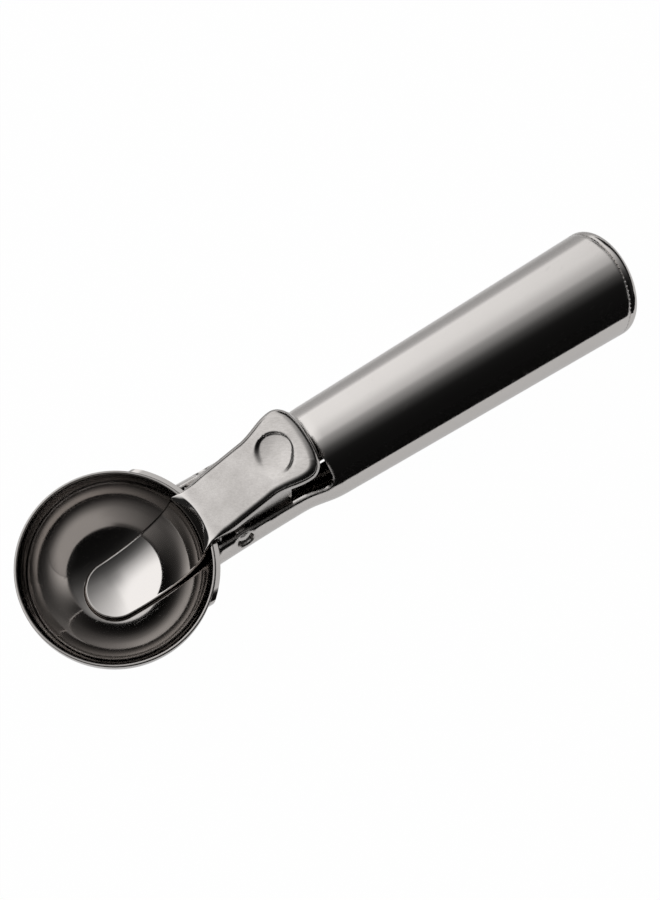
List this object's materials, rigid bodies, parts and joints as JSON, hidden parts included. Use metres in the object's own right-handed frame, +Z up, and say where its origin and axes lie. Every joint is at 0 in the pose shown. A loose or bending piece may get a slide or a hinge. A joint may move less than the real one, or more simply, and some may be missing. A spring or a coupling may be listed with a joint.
{
  "type": "lever ice cream scoop",
  "caption": "Hemispherical steel scoop bowl on a tapered tube handle, with a thumb lever that lifts a curved ejector tongue out of the bowl and springs back",
  "frame": {"origin": "on the surface that the part lies on, under the middle of its length and on its plane of symmetry", "axes": "+X from the bowl to the end of the handle, +Y across, +Z up out of the open bowl"},
  "size_m": [0.2001, 0.057, 0.0507],
  "materials": {
    "bowl_steel": "polished stainless steel",
    "handle_steel": "polished stainless steel",
    "lever_steel": "satin polished stainless steel",
    "rivet_steel": "turned and polished",
    "spring_steel": "drawn spring wire"
  },
  "bodies": {
    "root": {"bowl": "bowl_steel", "bowl_saddle": "bowl_steel", "handle": "handle_steel", "end_cap": "handle_steel", "pivot_rivet": "rivet_steel", "pivot_bush": "rivet_steel", "return_spring": "spring_steel"},
    "lever": {"lever": "lever_steel"}
  },
  "joints": [
    {"name": "lever_press", "type": "hinge", "parent": "root", "child": "lever", "pos_m": [-0.03535, 0, 0.0242], "axis": [0, 1, 0], "range_deg": [0, 24], "stiffness_Nm_per_rad": 0.3, "springref_deg": -17.19, "deforming": ["return_spring"]}
  ]
}
